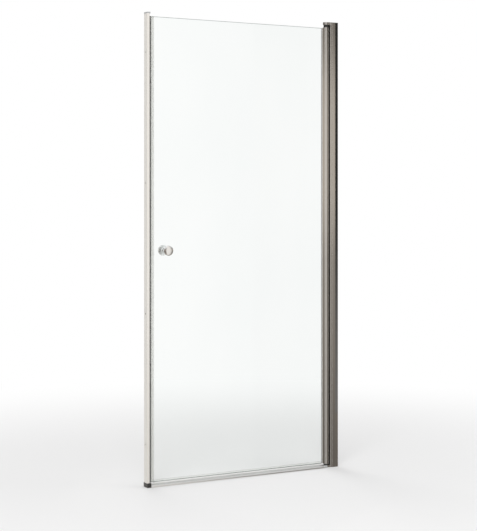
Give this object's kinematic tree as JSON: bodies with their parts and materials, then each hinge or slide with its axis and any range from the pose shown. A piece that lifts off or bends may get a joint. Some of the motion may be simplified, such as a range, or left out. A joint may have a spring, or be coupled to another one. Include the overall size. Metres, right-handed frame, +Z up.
{
  "type": "shower door",
  "caption": "Framed pivot shower door for an alcove: clear glass leaf on a round hinge stile, wall profiles, magnetic closing seals, threshold bar and mushroom knobs.",
  "frame": {"origin": "floor level, midway between the two wall faces, in the glass's mid-plane", "axes": "+Z up, +X towards the hinge side's wall, +Y into the shower"},
  "size_m": [0.9, 0.067, 1.9],
  "materials": {
    "polished_aluminium": "bright polished silver anodised",
    "satin_aluminium": "satin silver anodised",
    "chrome": "bright chrome plate",
    "chrome_cap": "chromed moulding",
    "steel": "turned stainless",
    "grey_plastic": "moulded grey",
    "dark_plastic": "moulded dark grey",
    "black_plastic": "moulded black",
    "black_rubber": "soft black extrusion",
    "clear_pvc": "clear soft extrusion",
    "clear_gasket": "grey translucent soft extrusion",
    "magnet": "dark bonded magnet strip",
    "glass": "clear toughened, ground edges"
  },
  "bodies": {
    "frame": {"hinge_wall_channel": "polished_aluminium", "hinge_post": "polished_aluminium", "strike_cover": "polished_aluminium", "threshold_bar": "satin_aluminium", "strike_wall_profile": "satin_aluminium", "channel_top_cap": "chrome_cap", "top_pivot_bracket": "chrome", "bottom_pivot_bracket": "chrome", "pivot_pins": "steel", "post_fixing_screws": "steel", "strike_top_cap": "grey_plastic", "strike_foot": "dark_plastic", "threshold_end_cap": "grey_plastic", "hinge_wiper_seal": "black_rubber", "strike_magnet_sleeve": "clear_pvc", "strike_magnet": "magnet"},
    "door_leaf": {"door_glass": "glass", "hinge_stile": "polished_aluminium", "glazing_gasket": "clear_gasket", "stile_end_caps": "chrome_cap", "pivot_bushes": "black_plastic", "edge_seal": "clear_pvc", "edge_magnet": "magnet", "drip_seal": "clear_pvc", "door_knobs": "chrome", "knob_stud": "steel", "knob_gaskets": "clear_pvc"}
  },
  "joints": [
    {"name": "door_hinge", "type": "hinge", "parent": "frame", "child": "door_leaf", "pos_m": [0.3988, 0, 0.95], "axis": [0, 0, 1], "range_deg": [0, 110]}
  ]
}
